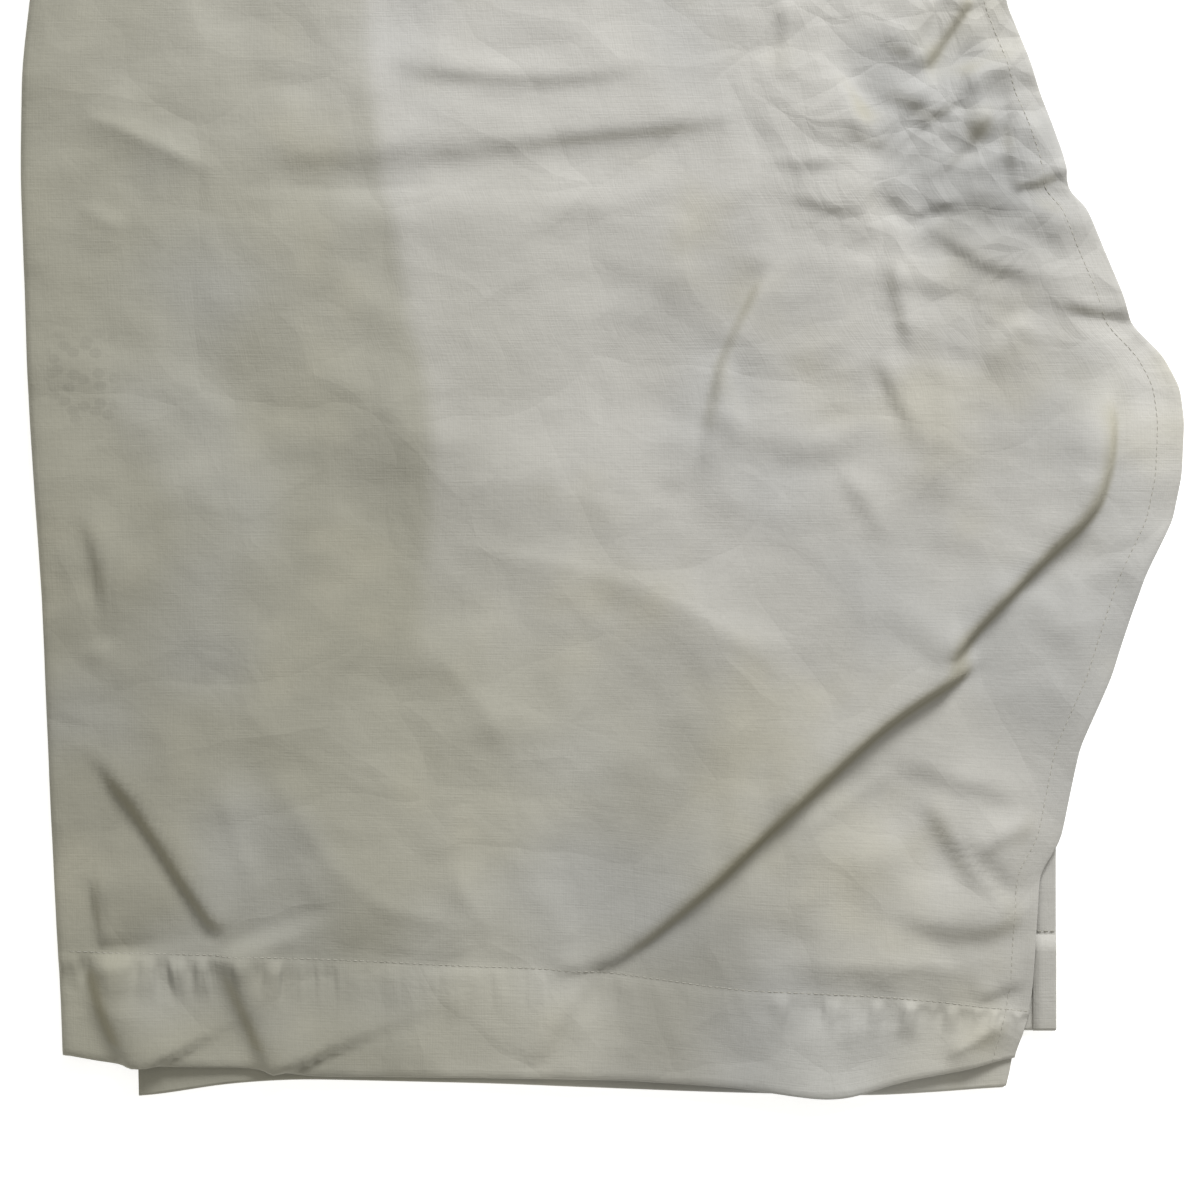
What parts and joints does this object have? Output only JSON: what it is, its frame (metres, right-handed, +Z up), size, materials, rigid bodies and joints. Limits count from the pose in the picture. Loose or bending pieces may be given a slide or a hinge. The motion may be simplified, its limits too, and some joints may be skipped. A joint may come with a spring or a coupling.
{
  "type": "butcher apron",
  "caption": "Full-length cotton butcher apron with a wide hem, neck strap and waist ties, folded in half lengthwise and laid flat.",
  "frame": {"origin": "middle of the whole outline in X and Y, on the surface that the folded apron lies on", "axes": "+Y from the hem to the bib and neck strap, +X from the lengthwise fold to the free side edges, +Z up, out of the front half"},
  "size_m": [0.5404, 1.302, 0.0148],
  "materials": {
    "body_cloth": "washed off-white cotton drill, matt, softly creased",
    "hem_cloth": "washed off-white cotton drill, doubled at the hems",
    "tape": "off-white herringbone cotton tape, matt",
    "thread": "off-white cotton sewing thread"
  },
  "bodies": {
    "skirt": {"skirt_cloth": "body_cloth", "bottom_hem_front": "hem_cloth", "bottom_hem_back": "hem_cloth", "side_hem_front": "hem_cloth", "side_hem_back": "hem_cloth", "tie_end_front": "tape", "tie_end_back": "tape", "hem_stitching_front": "thread", "hem_stitching_back": "thread", "side_stitching_front": "thread", "side_stitching_back": "thread", "tie_tack_front": "thread", "tie_tack_back": "thread"},
    "bib": {"bib_cloth": "body_cloth", "top_hem_front": "hem_cloth", "top_hem_back": "hem_cloth", "armhole_facing_front": "tape", "armhole_facing_back": "tape", "strap_end_front": "tape", "strap_end_back": "tape", "top_stitching_front": "thread", "top_stitching_back": "thread", "armhole_stitching_front": "thread", "armhole_stitching_back": "thread", "strap_tack_front": "thread", "strap_tack_back": "thread"},
    "neck_strap": {"neck_strap": "tape"},
    "front_tie": {"waist_tie_front": "tape"},
    "back_tie": {"waist_tie_back": "tape"}
  },
  "joints": [
    {"name": "bib_fold", "type": "hinge", "parent": "skirt", "child": "bib", "pos_m": [-0.045, 0.00615, 0.0131], "axis": [1, 0, 0], "range_deg": [0, 115]},
    {"name": "neck_strap_lift", "type": "hinge", "parent": "bib", "child": "neck_strap", "pos_m": [-0.14165, 0.3675, 0.0131], "axis": [1, 0, 0], "range_deg": [0, 165]},
    {"name": "front_tie_swing", "type": "hinge", "parent": "skirt", "child": "front_tie", "pos_m": [0.183, -0.084, 0.0129], "axis": [0, 1, 0], "range_deg": [0, 170]},
    {"name": "back_tie_lift", "type": "hinge", "parent": "skirt", "child": "back_tie", "pos_m": [0.23365, -0.0336, 0.0036], "axis": [1, 0, 0], "range_deg": [0, 90]}
  ]
}
